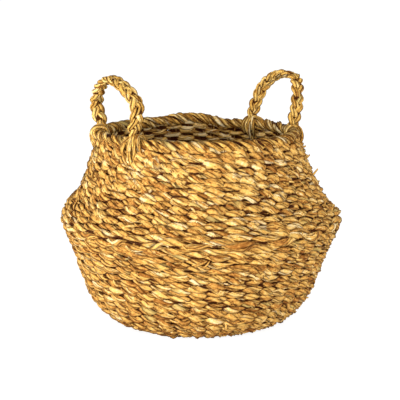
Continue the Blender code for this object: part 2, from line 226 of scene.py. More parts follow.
# One tree sweeps a flat blade along every guide line, then gives it its material
def bladeTree():
    tree = bpy.data.node_groups.new("sweepBlades", "GeometryNodeTree")
    for name, kind in (("Geometry", "Geometry"), ("Blade Sides", "Int"),
                       ("Thickness Share", "Float"), ("Material", "Material")):
        tree.interface.new_socket(name, in_out="INPUT", socket_type="NodeSocket" + kind)
    tree.interface.new_socket("Geometry", in_out="OUTPUT", socket_type="NodeSocketGeometry")

    def step(kind, links=None, values=None, settings=None):
        return addNode(tree, "GeometryNode" + kind, settings, values, links).outputs[0]

    given = addNode(tree, "NodeGroupInput").outputs
    lines = step("MeshToCurve", {"Mesh": given["Geometry"]})
    normal = step("InputNamedAttribute", None, {"Name": "bladeNormal"},
                  {"data_type": "FLOAT_VECTOR"})
    width = step("InputNamedAttribute", None, {"Name": "bladeWidth"}, {"data_type": "FLOAT"})
    turned = step("SetCurveNormal", {"Curve": lines, "Normal": normal}, None, {"mode": "FREE"})
    ring = step("CurvePrimitiveCircle", {"Resolution": given["Blade Sides"]}, {"Radius": 1.0},
                {"mode": "RADIUS"})
    level = step("Transform", {"Geometry": ring},
                 {"Rotation": (0.0, 0.0, math.pi / bladeShape["sides"])})
    squeeze = addNode(tree, "ShaderNodeCombineXYZ", None, {1: 1.0, 2: 1.0},
                      {0: given["Thickness Share"]})
    flat = step("Transform", {"Geometry": level, "Scale": squeeze.outputs[0]})
    parts = addNode(tree, "ShaderNodeSeparateXYZ", None, None, {0: step("InputPosition")})
    across = step("StoreNamedAttribute", {"Geometry": flat, "Value": parts.outputs["Y"]},
                  {"Name": "across"}, {"data_type": "FLOAT", "domain": "POINT"})
    swept = step("CurveToMesh", {"Curve": turned, "Profile Curve": across, "Scale": width},
                 {"Fill Caps": True})
    smooth = step("SetShadeSmooth", {"Geometry": swept})
    real = step("RealizeInstances", {"Geometry": smooth})
    dressed = step("SetMaterial", {"Geometry": real, "Material": given["Material"]})
    addNode(tree, "NodeGroupOutput", None, None, {"Geometry": dressed})
    return tree


sweepBlades = bladeTree()
lineFloats = ("bladeWidth", "tone", "olive", "along", "depth", "bladeSeed")


def unit(vectors):
    return vectors / np.maximum(np.linalg.norm(vectors, axis=-1, keepdims=True), 1e-12)


# From 0 to 1 with a slow start and a slow end
def ease(share):
    return share * share * (3.0 - 2.0 * share)


def partWay(first, second, share):
    return first * (1.0 - share) + second * share


# How far a plan angle lies from one in degrees, the shorter way round
def angleFrom(angle, degrees):
    return (angle - math.radians(degrees) + math.pi) % fullTurn - math.pi


# Places or directions, from how far out, at what plan angle and how far up they go
def polar(outward, angle, upward):
    east = outward * np.cos(angle)
    north = outward * np.sin(angle)
    return np.stack([east, north, np.broadcast_to(upward, east.shape)], axis=1)


# Turns rows of places about the upright axis when they are multiplied by it
def turnAboutUp(angle):
    return np.array([[math.cos(angle), math.sin(angle), 0.0],
                     [-math.sin(angle), math.cos(angle), 0.0], [0.0, 0.0, 1.0]])


def runAlong(line):
    return np.concatenate([[0.0], np.cumsum(np.linalg.norm(np.diff(line, axis=0), axis=1))])


# The real basket is not quite true: how far it stands to one side at each height
handmade = {
    "heights": [0.0, 45.0, 100.0, 135.0, 165.0, 235.0, 330.0],
    "aside": [-1.2, -0.6, 0.8, 1.4, -0.4, -2.8, -2.8],  # mm, along way
    "way": (0.883, -0.469),
    "bulgeAngle": 152.0,  # one side bulges just above the fold
    "bulgeSpread": 30.0,
    "bulgeHeight": 150.0,  # mm, as are the next two
    "bulgeReach": 9.0,
    "bulge": 6.5,
    # Waves of the rim: plan angle and spread in degrees, and rise in mm
    "rimWaves": [(69.0, 19.0, 4.4), (42.0, 12.0, -2.6)],
    "rimHeights": (190.0, 238.0),
}


def warp(place):
    height = place[:, 2] / mm
    turn = np.arctan2(place[:, 1], place[:, 0])
    aside = np.interp(height, handmade["heights"], handmade["aside"]) * mm
    moved = place + aside[:, None] * np.array([*handmade["way"], 0.0])
    away = angleFrom(turn, handmade["bulgeAngle"])
    around = np.exp(-(away / math.radians(handmade["bulgeSpread"])) ** 2)
    level = np.exp(-((height - handmade["bulgeHeight"]) / handmade["bulgeReach"]) ** 2)
    radial = unit(place * np.array([1.0, 1.0, 0.0]))
    share = np.interp(height, handmade["rimHeights"], (0.0, 1.0))
    wave = sum(rise * np.exp(-((np.degrees(turn) - at) / spread) ** 2)
               for at, spread, rise in handmade["rimWaves"])
    moved[:, 2] = moved[:, 2] + share * wave * mm
    return moved + radial * (handmade["bulge"] * mm * around * level)[:, None]


def unwarp(place):
    return 2.0 * place - warp(place)


def newGuide():
    return {"place": [], "bladeNormal": [], "edges": [], "count": 0,
            **{name: [] for name in lineFloats}}


def addLine(guide, place, normal, closed, **floats):
    count = len(place)
    index = np.arange(guide["count"], guide["count"] + count)
    edges = np.stack([index, np.roll(index, -1)], axis=1)
    guide["place"].append(warp(place))
    guide["bladeNormal"].append(normal)
    guide["edges"].append(edges if closed else edges[:-1])
    for name in lineFloats:
        guide[name].append(np.broadcast_to(np.asarray(floats[name], float), (count,)))
    guide["count"] += count


def sweepPiece(name, guide, material, depthOf):
    place = np.concatenate(guide["place"])
    edges = np.concatenate(guide["edges"])
    lines = bpy.data.meshes.new(name + "Lines")
    lines.vertices.add(len(place))
    lines.vertices.foreach_set("co", place.astype(np.float32).ravel())
    lines.edges.add(len(edges))
    lines.edges.foreach_set("vertices", edges.astype(np.int32).ravel())
    for key in ("bladeNormal", *lineFloats):
        kind, word = ("FLOAT_VECTOR", "vector") if key == "bladeNormal" else ("FLOAT", "value")
        values = np.concatenate(guide[key]).astype(np.float32).ravel()
        lines.attributes.new(key, kind, "POINT").data.foreach_set(word, values)
    lines.update()
    item = addObject(name, lines)
    sweep = item.modifiers.new("sweep", "NODES")
    sweep.node_group = sweepBlades
    sockets = {socket.name: socket.identifier for socket in sweepBlades.interface.items_tree
               if socket.in_out == "INPUT"}
    sweep[sockets["Blade Sides"]] = bladeShape["sides"]
    sweep[sockets["Thickness Share"]] = bladeShape["thicknessShare"]
    sweep[sockets["Material"]] = material
    bpy.context.view_layer.update()
    graph = bpy.context.evaluated_depsgraph_get()
    mesh = bpy.data.meshes.new_from_object(item.evaluated_get(graph),
                                           preserve_all_data_layers=True, depsgraph=graph)
    item.modifiers.remove(sweep)
    item.data = mesh
    mesh.name = name
    bpy.data.meshes.remove(lines)
    corners = np.empty(len(mesh.vertices) * 3, np.float32)
    mesh.vertices.foreach_get("co", corners)
    # The depth attribute sets how much painted shade the material lays on each place
    depth = np.clip(depthOf(unwarp(corners.reshape(-1, 3).astype(float))), 0.0, 1.0)
    mesh.attributes["depth"].data.foreach_set("value", depth.astype(np.float32))
    for key in ("bladeNormal", "bladeWidth"):
        if key in mesh.attributes:
            mesh.attributes.remove(mesh.attributes[key])
    print("made", name, len(mesh.polygons), "faces")
    return item


def slopeOf(place, closed):
    if closed:
        return unit(np.roll(place, -1, axis=0) - np.roll(place, 1, axis=0))
    return unit(np.gradient(place, axis=0))


# Values that wander smoothly between random knots, and join up on a closed line
def wander(rng, count, knots, spread, closed):
    knots = max(int(knots), 2)
    values = rng.normal(0.0, spread, knots)
    if closed:
        where = np.arange(count) / count * knots
    else:
        where = np.linspace(0.0, knots - 1.001, count)
    index = where.astype(int)
    return partWay(values[index], values[(index + 1) % knots], ease(where - index))


# How uneven a bundle's blades are
uneven = {
    "each": 21.0,  # mm between changes
    "swell": 0.20,
    "turn": 0.60,
    "tone": 0.20,  # along a blade
    "toneEach": 0.10,  # from one blade to the next
    "oliveFrom": 1.3,  # few stretches are still olive
    "oliveGain": 1.2,
    "oliveMost": 0.65,
    "cover": 1.04,
    "leastReach": 0.1,  # mm from the bundle's middle to a blade's
}


# A bundle of blades twisted round a line; wide is the direction of the bundle's breadth, and
# its size in mm, its blades and its tone come from a piece's settings
def addBundle(guide, rng, place, wide, settings, twist, closed, **changes):
    bundle = {"depth": 0.0, "tidy": 1.0, **settings, **changes}
    count = len(place)
    ahead = slopeOf(place, closed)
    wide = unit(wide - ahead * np.sum(wide * ahead, axis=1, keepdims=True))
    out = np.cross(ahead, wide)
    along = runAlong(place)
    knots = along[-1] / (uneven["each"] * mm)
    halfWide = np.broadcast_to(bundle["halfWide"] * mm, (count,))
    halfThick = np.broadcast_to(bundle["halfThick"] * mm, (count,))
    rim = math.pi * (3.0 * (halfWide + halfThick)
                     - np.sqrt((3.0 * halfWide + halfThick) * (halfWide + 3.0 * halfThick)))
    breadth = uneven["cover"] * rim / (2.0 * bundle["blades"])
    least = uneven["leastReach"] * mm
    start = rng.uniform(0.0, fullTurn)
    for k in range(bundle["blades"]):
        halfBlade = breadth * (1.0 + wander(rng, count, knots, uneven["swell"], closed))
        inset = halfBlade * bladeShape["thicknessShare"]
        turn = start + fullTurn * k / bundle["blades"] + twist
        turn = turn + wander(rng, count, knots, uneven["turn"] * bundle["tidy"], closed)
        cosTurn = np.cos(turn)
        sinTurn = np.sin(turn)
        wideReach = np.maximum(halfWide - inset, least) * cosTurn
        outReach = np.maximum(halfThick - inset, least) * sinTurn
        centre = place + wide * wideReach[:, None] + out * outReach[:, None]
        normal = unit(wide * (cosTurn / halfWide)[:, None] + out * (sinTurn / halfThick)[:, None])
        bladeTone = bundle["tone"] + rng.normal(0.0, uneven["toneEach"])
        bladeTone = bladeTone + wander(rng, count, knots, uneven["tone"], closed)
        green = wander(rng, count, knots, 1.0, closed) - uneven["oliveFrom"]
        oliveLine = np.clip(green * uneven["oliveGain"], 0.0, uneven["oliveMost"])
        addLine(guide, centre, normal, closed, bladeWidth=halfBlade, tone=bladeTone,
                olive=oliveLine, along=along, depth=bundle["depth"],
                bladeSeed=rng.uniform(0.0, 1.0))


# A smooth line through stations, in the plane of radius and height, resampled evenly
def smoothLine(stations, step):
    points = np.array(stations, float)
    chords = np.linalg.norm(np.diff(points, axis=0), axis=1)
    knots = np.concatenate([[0.0], np.cumsum(chords)])
    slopes = np.gradient(points, knots, axis=0)
    fine = np.linspace(0.0, knots[-1], int(knots[-1] / step) + 1)
    index = np.clip(np.searchsorted(knots, fine, side="right") - 1, 0, len(chords) - 1)
    span = chords[index][:, None]
    share = ((fine - knots[index]) / chords[index])[:, None]
    square = share * share
    cube = square * share
    return ((2.0 * cube - 3.0 * square + 1.0) * points[index]
            + (cube - 2.0 * square + share) * slopes[index] * span
            + (3.0 * square - 2.0 * cube) * points[index + 1]
            + (cube - square) * slopes[index + 1] * span)


def evenLine(line, step):
    knots = runAlong(line)
    fine = np.arange(0.0, knots[-1], step)
    return np.stack([np.interp(fine, knots, line[:, k]) for k in (0, 1)], axis=1)


# The wall: the middle of its thickness, from the middle of the base to the border
wall = {
    "uprights": 44,
    # Stations of radius and height on the outside, in mm
    "lowerOutside": [(20.0, 0.0), (51.6, 0.0), (85.7, 0.0), (92.1, 0.6), (109.2, 5.9),
                     (122.6, 15.2), (135.6, 30.0), (145.6, 52.5), (154.2, 77.2),
                     (164.6, 105.0), (175.0, 132.6)],
    "upperOutside": [(175.0, 132.6), (153.9, 158.1), (138.8, 189.8), (125.1, 229.4),
                     (123.6, 234.5)],
    "middleDepth": 4.9,  # mm under the outside
    "foldTrim": 7.0,  # mm of each half that the rounded fold takes up
    "foldPoints": 24,
    "foldSwell": 1.4,
    "foldReach": 9.0,  # mm on each side of the fold that swell
    "step": 0.5,
}


def insetLine(line, depth):
    slope = unit(np.gradient(line, axis=0))
    return line + np.stack([-slope[:, 1], slope[:, 0]], axis=1) * depth


def middleLine():
    step = wall["step"]
    lower = insetLine(smoothLine(wall["lowerOutside"], step), wall["middleDepth"])
    upper = insetLine(smoothLine(wall["upperOutside"], step), wall["middleDepth"])
    trim = int(wall["foldTrim"] / step)
    lower = lower[:-trim]
    upper = upper[trim:]
    lowerSlope = unit(lower[-1] - lower[-2])
    upperSlope = unit(upper[1] - upper[0])
    gap = upper[0] - lower[-1]
    cross = lowerSlope[0] * upperSlope[1] - lowerSlope[1] * upperSlope[0]
    reach = (gap[0] * upperSlope[1] - gap[1] * upperSlope[0]) / cross
    corner = lower[-1] + lowerSlope * reach
    share = np.linspace(0.0, 1.0, wall["foldPoints"])[1:-1, None]
    fold = ((1.0 - share) ** 2 * lower[-1] + 2.0 * share * (1.0 - share) * corner
            + share ** 2 * upper[0])
    return evenLine(np.concatenate([lower, fold, upper]), step) * mm


middle = middleLine()
middleStep = wall["step"] * mm
middleSlope = unit(np.gradient(middle, axis=0))
middleOut = np.stack([middleSlope[:, 1], -middleSlope[:, 0]], axis=1)
middleLength = (len(middle) - 1) * middleStep
foldIndex = int(np.argmax(middle[:, 0]))
foldRun = foldIndex * middleStep
uprightStep = fullTurn / wall["uprights"]


def onMiddle(run):
    where = np.clip(np.asarray(run) / middleStep, 0, len(middle) - 1.001)
    index = where.astype(int)
    share = (where - index)[..., None]
    spot, slope, out = (partWay(table[index], table[index + 1], share)
                        for table in (middle, middleSlope, middleOut))
    return spot, unit(slope), unit(out)


def runAtRadius(radius):
    return float(np.interp(radius, middle[:foldIndex, 0], np.arange(foldIndex) * middleStep))


# The nearest point of the middle line, on a grid of radius and height
grid = {"step": 2.0, "farthest": 200.0, "lowest": -10.0, "highest": 260.0, "every": 4}
gridUp = np.arange(grid["lowest"], grid["highest"], grid["step"]) * mm


def nearestMiddle():
    out = np.arange(0.0, grid["farthest"], grid["step"]) * mm
    cells = np.stack(np.meshgrid(out, gridUp, indexing="ij"), axis=-1)
    every = grid["every"]
    far = np.linalg.norm(cells[:, :, None, :] - middle[None, None, ::every, :], axis=-1)
    return np.argmin(far, axis=2) * every


nearest = nearestMiddle()


# How deep a place lies in the wall: 0 at its two faces, 1 in the middle
def wallDepth(place):
    flat = np.stack([np.hypot(place[:, 0], place[:, 1]), place[:, 2]], axis=1)
    cell = np.round((flat - np.array([0.0, gridUp[0]])) / (grid["step"] * mm)).astype(int)
    across, up = np.clip(cell, 0, np.array(nearest.shape) - 1).T
    index = nearest[across, up]
    level = np.abs(np.sum((flat - middle[index]) * middleOut[index], axis=1))
    return 1.0 - level / (wall["middleDepth"] * mm)


# Uprights: eleven cross eleven at the base, run out as lanes, and fan out to even steps
uprights = {
    "lanes": 11,
    "lanePitch": 6.3,
    "fanStart": 51.6,
    "fanEnd": 85.7,
    "halfWide": 3.7,
    "halfThick": 1.4,
    "blades": 3,
    "twist": 5.0,  # over the whole length, from rim to rim
    "matSwing": 1.3,
    "matPoints": 8,  # in each step of the crossing
    "clear": 2.0,  # mm between the crossing's last point and the next
    "step": 4.6,
    "turnGain": 3.0,  # how soon the breadth turns from the base's way to the wall's
    # painted shade: the uprights' tone is darker than the rows', as they lie in shade
    "tone": 0.35,
    "depth": 0.35,
    "stray": 0.11,  # of an upright step, to the side
    "strayKnots": 12,
    "straightKnots": 3,  # of those, on the base
}


# Each upright wanders a little to the side on its way up
uprightRng = np.random.default_rng(5)
uprightKnots = uprightRng.normal(0.0, uprights["stray"],
                                 (wall["uprights"], uprights["strayKnots"]))
uprightKnots[:, :uprights["straightKnots"]] = 0.0


def uprightShift(run, upright):
    where = np.clip(np.asarray(run, float) / middleLength, 0.0, 0.9999)
    where = where * (uprights["strayKnots"] - 1)
    index = where.astype(int)
    return partWay(uprightKnots[upright, index], uprightKnots[upright, index + 1],
                   ease(where - index))


# Plan angle of a lane's upright where it is a given distance from the middle
def laneAngle(lane, radius):
    offset = lane * uprights["lanePitch"] * mm
    straight = np.arcsin(np.clip(offset / np.maximum(radius, 1e-6), -1.0, 1.0))
    start = uprights["fanStart"] * mm
    end = uprights["fanEnd"] * mm
    share = ease(np.clip((radius - start) / (end - start), 0.0, 1.0))
    return partWay(straight, lane * uprightStep, share)


def makeUprights():
    guide = newGuide()
    rng = np.random.default_rng(11)
    half = uprights["lanes"] // 2
    pitch = uprights["lanePitch"] * mm
    edge = half * pitch + pitch
    inner = np.linspace(0.0, edge, uprights["matPoints"] * (half + 1) + 1)
    upward = np.array([0.0, 0.0, 1.0])
    for quarter in range(2):
        spin = turnAboutUp(quarter * math.pi / 2.0 + uprightStep / 2.0)
        for lane in range(-half, half + 1):
            offset = lane * pitch
            weave = np.cos(math.pi * (inner / pitch + lane + quarter)) * uprights["matSwing"] * mm
            weave = weave * np.clip((edge - inner) / pitch, 0.0, 1.0)
            matHalf = np.stack([inner, np.full_like(inner, offset),
                                wall["middleDepth"] * mm + weave], axis=1)
            firstRun = runAtRadius(math.hypot(edge, offset)) + uprights["clear"] * mm
            runs = np.arange(firstRun, middleLength, uprights["step"] * mm)
            radius, height = onMiddle(runs)[0].T
            right = np.concatenate([matHalf, polar(radius, laneAngle(lane, radius), height)])
            left = right[::-1] * np.array([-1.0, 1.0, 1.0])
            place = np.concatenate([left[:-1], right]) @ spin
            angle = np.arctan2(place[:, 1], place[:, 0])
            upright = np.round(angle / uprightStep - 0.5).astype(int) % wall["uprights"]
            wholeRun = np.concatenate([np.zeros(len(matHalf)), runs])
            wholeRun = np.concatenate([wholeRun[::-1][:-1], wholeRun])
            angle = angle + uprightShift(wholeRun, upright) * uprightStep
            place = polar(np.hypot(place[:, 0], place[:, 1]), angle, place[:, 2])
            # The breadth lies level, square to the upright's own way
            ahead = slopeOf(place, False)
            aside = np.cross(upward, unit(place * np.array([1.0, 1.0, 0.0])))
            flatAside = np.cross(upward, ahead)
            isWall = np.clip(np.abs(ahead[:, 2]) * uprights["turnGain"], 0.0, 1.0)[:, None]
            sign = np.sign(np.sum(aside * flatAside, axis=1, keepdims=True))
            sign = np.where(sign == 0.0, 1.0, sign)
            wide = unit(partWay(flatAside, aside * sign, isWall))
            twist = np.linspace(0.0, uprights["twist"], len(place))
            addBundle(guide, rng, place, wide, uprights, twist, False)
    return sweepPiece("uprights", guide, uprightSeagrass, wallDepth)


# The rows: each bundle passes over one upright and under the next
rows = {
    "baseStart": 37.0,  # mm from the middle, where the first row goes round the crossing
    "basePitch": 4.2,
    "pitchHeights": [0.0, 30.0, 60.0, 95.0, 134.0, 170.0, 232.0],
    "pitches": [5.9, 5.5, 4.9, 4.6, 4.6, 5.2, 5.9],
    "swing": 2.6,  # mm, to each side of the uprights
    "baseSwing": 1.7,
    "blades": 4,
    "pointsEach": 8,
    "basePointsEach": 7,
    "halfWideShare": 1.02,  # of the row pitch, in front of an upright
    "betweenShare": 0.70,  # what is left of that between two uprights
    "behindShare": 0.56,  # and behind one
    "topRows": 60.0,  # mm under the border where the rows lie tighter
    "topShare": 0.86,
    "topBehindShare": 0.55,
    "insidePaintedLight": 0.32,  # painted light: how much paler the passes inside the mouth are painted, where light reaches in
    "topLift": 0.2,
    "halfThick": 2.9,
    "baseHalfThick": 2.5,
    "pinch": 0.10,  # how much thinner it is between two uprights
    "drift": {"base": 0.05, "lower": 0.06, "upper": 0.08},  # pitches that a pass runs down
    "passTurn": {"base": 0.5, "lower": 0.60, "upper": 0.85},  # how far it rolls in a pass
    "foldPassTurn": -2.0,
    "twistRun": 105.0,  # mm for a full turn
    "lift": 0.5,  # mm, how far single passes stray up or down
    "liftKnots": 11,  # and how often a whole row does, by half of that
    "leanSpread": 0.35,
    "calmAngle": 152.0,  # where the lower rows lie almost straight
    "calmSpread": 40.0,
    "calmShare": 0.85,
    "calmSwing": 0.35,
    "calmWide": 0.80,
    "passLimits": (-1.15, 1.6),  # how uneven single passes may be
    "sizeSpread": 0.19,
    "thickSpread": 0.06,
    "pushSpread": 0.12,  # of the swing, in or out
    "asideSpread": 0.045,  # of an upright step
    "baseBlend": (6.0, 25.0),  # mm up, where the base's rows turn into the wall's
    "slantWaves": (0.9, 0.09),  # a pass slants evenly over an upright and turns between two
    "foldRows": 3.2,  # mm, the rows this near the fold slant the other way
    "foldDrift": -0.4,
    "steepRows": 12.0,  # mm under the border where the rows slant more
    "topSteep": 1.5,
    "lastClear": 1.0,
    "tone": 0.48,
    "toneSpread": 0.04,
    "crossingCorner": 1.33,  # how square the first row round the crossing is
    "settleTurns": 6,  # tries that bring its angles and radii together
    "rowsEachPiece": 9,
}


def rowPlan():
    plan = []
    run = runAtRadius(rows["baseStart"] * mm)
    baseEnd = runAtRadius(uprights["fanEnd"] * mm)
    while run < baseEnd:
        plan.append(("base", run, rows["basePitch"]))
        run += rows["basePitch"] * mm
    while run < middleLength - rows["lastClear"] * mm:
        spot = onMiddle(run)[0]
        pitch = float(np.interp(spot[1] / mm, rows["pitchHeights"], rows["pitches"]))
        plan.append(("lower" if run < foldRun else "upper", run, pitch))
        run += pitch * mm
    return plan


# A base row is a square with round corners near the crossing, and turns into a circle
def baseRowRadius(angle, reach):
    start = rows["baseStart"] * mm
    end = uprights["fanEnd"] * mm
    share = min(max((reach - start) / (end - start), 0.0), 1.0)
    corner = partWay(rows["crossingCorner"], 1.0, share)
    power = max(1.0 / (0.5 - math.log2(max(corner, 1.0001)) + 1e-6), 2.0)
    turned = angle - uprightStep / 2.0
    sides = np.abs(np.cos(turned)) ** power + np.abs(np.sin(turned)) ** power
    return reach / sides ** (1.0 / power)


def crossingAngles(reach):
    side, lane = np.divmod(np.arange(wall["uprights"]), uprights["lanes"])
    lane = lane - uprights["lanes"] // 2
    start = side * math.pi / 2.0 + uprightStep / 2.0
    angle = start + laneAngle(lane, reach)
    for turn in range(rows["settleTurns"]):
        angle = start + laneAngle(lane, baseRowRadius(angle, reach))
    return angle


def weaveRow(guide, rng, kind, run, pitch, index):
    pointsEach = rows["basePointsEach"] if kind == "base" else rows["pointsEach"]
    count = wall["uprights"] * pointsEach
    steps = np.arange(count) / pointsEach
    phase = math.pi * (steps + index)
    cosPhase = np.cos(phase)
    spot, slope, out = onMiddle(run)
    if kind == "base":
        crossings = crossingAngles(spot[0])
        closing = np.concatenate([crossings, [crossings[0] + fullTurn]])
        angle = np.interp(steps, np.arange(len(closing)), closing)
        radius = baseRowRadius(angle, spot[0])
    else:
        angle = (steps + 0.5) * uprightStep
        radius = np.full(count, spot[0])
    isFoldRow = abs(run - foldRun) < rows["foldRows"] * mm
    isTop = run > middleLength - rows["topRows"] * mm
    nearFold = math.exp(-((run - foldRun) / (wall["foldReach"] * mm)) ** 2)
    nearBase = float(np.interp(spot[1] / mm, rows["baseBlend"], (1.0, 0.0)))
    away = angleFrom(angle, rows["calmAngle"]) / math.radians(rows["calmSpread"])
    calm = (rows["calmShare"] if kind == "lower" else 0.0) * np.exp(-away ** 2)

    # No two passes are quite alike
    perPass = np.clip(rng.normal(0.0, 1.0, (4, wall["uprights"])), *rows["passLimits"])
    whole = steps.astype(int)
    following = (whole + 1) % wall["uprights"]
    share = steps - whole
    size, lift, push, lean = partWay(perPass[:, whole], perPass[:, following], ease(share))
    if kind != "base":
        shifts = uprightShift(run, np.arange(wall["uprights"])) + rows["asideSpread"] * perPass[3]
        angle = angle + partWay(shifts[whole], shifts[following], share) * uprightStep

    # In and out round the uprights, and up and down along the wall
    swing = partWay(rows["swing"], rows["baseSwing"], nearBase)
    across = cosPhase * (1.0 - rows["calmSwing"] * calm) + push * rows["pushSpread"]
    across = across * swing * mm + nearFold * wall["foldSwell"] * mm
    drift = rows["drift"][kind] * pitch * mm * (1.0 + rows["leanSpread"] * lean)
    if isFoldRow:
        drift = rows["foldDrift"] * drift
    elif run > middleLength - rows["steepRows"] * mm:
        drift = drift * rows["topSteep"]
    stray = rows["topLift"] if isTop else rows["lift"]
    along = wander(rng, count, rows["liftKnots"], 0.5 * stray * mm, True) + lift * stray * mm
    if kind == "base":
        along = along * 0.5
    first, third = rows["slantWaves"]
    along = along - drift * (first * np.sin(phase) - third * np.sin(3.0 * phase))
    reach = radius + out[0] * across + slope[0] * along
    place = polar(reach, angle, spot[1] + out[1] * across + slope[1] * along)
    wide = polar(slope[0], angle, slope[1])

    # Broad over an upright, narrower between two and behind one
    between = rows["topShare"] if isTop else rows["betweenShare"]
    behind = rows["topBehindShare"] if isTop else rows["behindShare"]
    spread = between + np.where(cosPhase > 0.0, 1.0 - between, between - behind) * cosPhase
    spread = partWay(spread, rows["calmWide"], calm)
    halfWide = rows["halfWideShare"] * pitch * spread * (1.0 + rows["sizeSpread"] * size)
    halfThick = partWay(rows["halfThick"], rows["baseHalfThick"], nearBase)
    halfThick = halfThick * (1.0 + rows["thickSpread"] * size)
    halfThick = halfThick * (1.0 - rows["pinch"] * (1.0 - np.abs(cosPhase)))
    turns = max(round(fullTurn * float(np.mean(radius)) / (rows["twistRun"] * mm)), 2)
    rolled = np.cumsum(1.0 - calm)
    passTurn = rows["foldPassTurn"] if isFoldRow else rows["passTurn"][kind]
    passTurn = passTurn * (1.0 + rows["leanSpread"] * lean) * (1.0 - calm)
    twist = turns * rolled / rolled[-1] * fullTurn + passTurn * np.sin(phase)
    # Painted light: the inside passes of the top rows are made paler
    paintedLight = rows["insidePaintedLight"] * np.clip(-cosPhase, 0.0, 1.0) if isTop else 0.0
    tone = rows["tone"] + rng.normal(0.0, rows["toneSpread"]) + paintedLight
    addBundle(guide, rng, place, wide, rows, twist, True, halfWide=halfWide,
              halfThick=halfThick, tone=tone)


# Loose blades that wander over the rows, their ends tucked into the weave
strays = {
    "count": 170,
    "points": 9,
    "lowest": 119.0,  # mm from the middle, low on the wall
    "topClear": 6.0,  # mm under the border
    "length": (9.0, 22.0),
    "halfWide": (1.1, 2.0),
    "taper": 0.7,
    # Means and spreads, the slant in degrees
    "slant": (22.0, 24.0),
    "tone": (0.56, 0.17),
    "olive": (-0.3, 0.4),
    "bend": 0.10,
    "rise": 5.0,
    "tuck": 3.4,
    # Ends that stand out: plan angle, height in mm, length, how far out, how far up
    "ends": [(-26.0, 214.0, 9.0, 8.0, -1.0), (-24.0, 199.0, 9.0, 8.5, 2.0),
             (-30.0, 181.0, 10.0, 9.0, 4.0), (-25.0, 168.0, 8.0, 7.0, 0.0),
             (150.0, 26.0, 9.0, 6.0, -2.0)],
    "endPoints": 8,
    "endHalfWide": 1.9,
    "endTaper": 0.5,
    "endStart": 2.0,  # mm out from the wall's middle
    "baseEdge": 90.0,  # mm, ends grow only further out than this
    # Short ones, every second near the camera's right: plan angle, height, length, how far out, up
    "shortEnds": 110,
    "shortTurn": (-28.0, 24.0),
    "shortRanges": [(20.0, 216.0), (6.0, 9.0), (1.5, 4.5)],
    "shortUp": 2.5,
}


def makeStrays():
    guide = newGuide()
    rng = np.random.default_rng(77)
    lowest = runAtRadius(strays["lowest"] * mm)
    highest = middleLength - strays["topClear"] * mm
    share = np.linspace(-0.5, 0.5, strays["points"])
    for k in range(strays["count"]):
        length = rng.uniform(*strays["length"]) * mm
        run = rng.uniform(lowest, highest)
        start = rng.uniform(0.0, fullTurn)
        slant = math.radians(-rng.normal(*strays["slant"]))
        bend = rng.normal(0.0, strays["bend"]) * length
        runs = run + length * math.sin(slant) * share + bend * (0.25 - share ** 2)
        spot, _, out = onMiddle(np.clip(runs, 0.0, middleLength))
        angle = start + length * math.cos(slant) * share / spot[:, 0]
        across = (strays["rise"] - strays["tuck"] * (2.0 * share) ** 2) * mm
        radius, height = (spot + out * across[:, None]).T
        halfWide = rng.uniform(*strays["halfWide"]) * mm
        halfWide = halfWide * (1.0 - strays["taper"] * (2.0 * share) ** 4)
        addLine(guide, polar(radius, angle, height), polar(out[:, 0], angle, out[:, 1]), False,
                bladeWidth=halfWide, tone=rng.normal(*strays["tone"]),
                olive=max(rng.normal(*strays["olive"]), 0.0), along=length * (share + 0.5),
                depth=0.0, bladeSeed=rng.uniform(0.0, 1.0))
    ends = list(strays["ends"])
    for k in range(strays["shortEnds"]):
        turn = rng.normal(*strays["shortTurn"]) if k % 2 == 0 else rng.uniform(0.0, 360.0)
        ends.append((turn, *[rng.uniform(*limits) for limits in strays["shortRanges"]],
                     rng.normal(0.0, strays["shortUp"])))
    share = np.linspace(0.0, 1.0, strays["endPoints"])
    inside = middle[:, 0] < strays["baseEdge"] * mm
    for degrees, level, length, outwards, upwards in ends:
        nearestRun = int(np.argmin(np.abs(middle[:, 1] - level * mm) + inside)) * middleStep
        spot, _, out = onMiddle(nearestRun)
        angle = math.radians(degrees) + length * mm * (share - 0.5) / spot[0]
        stand = (strays["endStart"] + outwards * share ** 1.5) * mm
        height = spot[1] + out[1] * stand + upwards * share ** 2 * mm
        normal = np.stack([-np.sin(angle), np.cos(angle), np.zeros_like(angle)], axis=1)
        halfWide = strays["endHalfWide"] * mm * (1.0 - strays["endTaper"] * share)
        addLine(guide, polar(spot[0] + out[0] * stand, angle, height), normal, False,
                bladeWidth=halfWide, tone=0.5, olive=0.0, along=length * mm * share, depth=0.0,
                bladeSeed=rng.uniform(0.0, 1.0))
    return sweepPiece("looseBlades", guide, wovenSeagrass, wallDepth)


def makeWeave():
    plan = rowPlan()
    print("rows:", len(plan))
    rng = np.random.default_rng(44)
    made = []
    for kind in ("base", "lower", "upper"):
        chosen = [index for index, row in enumerate(plan) if row[0] == kind]
        parts = 1 if kind == "base" else math.ceil(len(chosen) / rows["rowsEachPiece"])
        for part, some in enumerate(np.array_split(chosen, parts)):
            guide = newGuide()
            for index in some:
                weaveRow(guide, rng, *plan[index], index)
            name = kind + "Weave" + ("" if kind == "base" else str(part + 1))
            made.append(sweepPiece(name, guide, wovenSeagrass, wallDepth))
    made.append(makeStrays())
    return made


# The border: bundles laid like a rope round the rim, over to the outside and down
border = {
    "radius": 118.4,
    "height": 233.8,
    "strands": 4,
    "turns": 15,
    "turnStray": 0.16,
    "reach": 4.1,
    "reachStray": 0.05,
    "liftStray": 0.7,  # mm
    "liftKnots": 24,
    "halfWide": 3.1,
    "halfThick": 2.5,
    "blades": 3,
    "bladeTurns": 6.0,
    "tone": 0.47,
    "tidy": 0.6,
    "pointsEachTurn": 20,
    "shade": 3.5,  # how fast the painted shade darkens it towards the middle
}


# How deep a place lies in the border's rope, which sets its painted shade
def borderDepth(place):
    away = np.hypot(np.hypot(place[:, 0], place[:, 1]) - border["radius"] * mm,
                    place[:, 2] - border["height"] * mm)
    return border["shade"] * (1.0 - away / ((border["reach"] + border["halfThick"]) * mm))


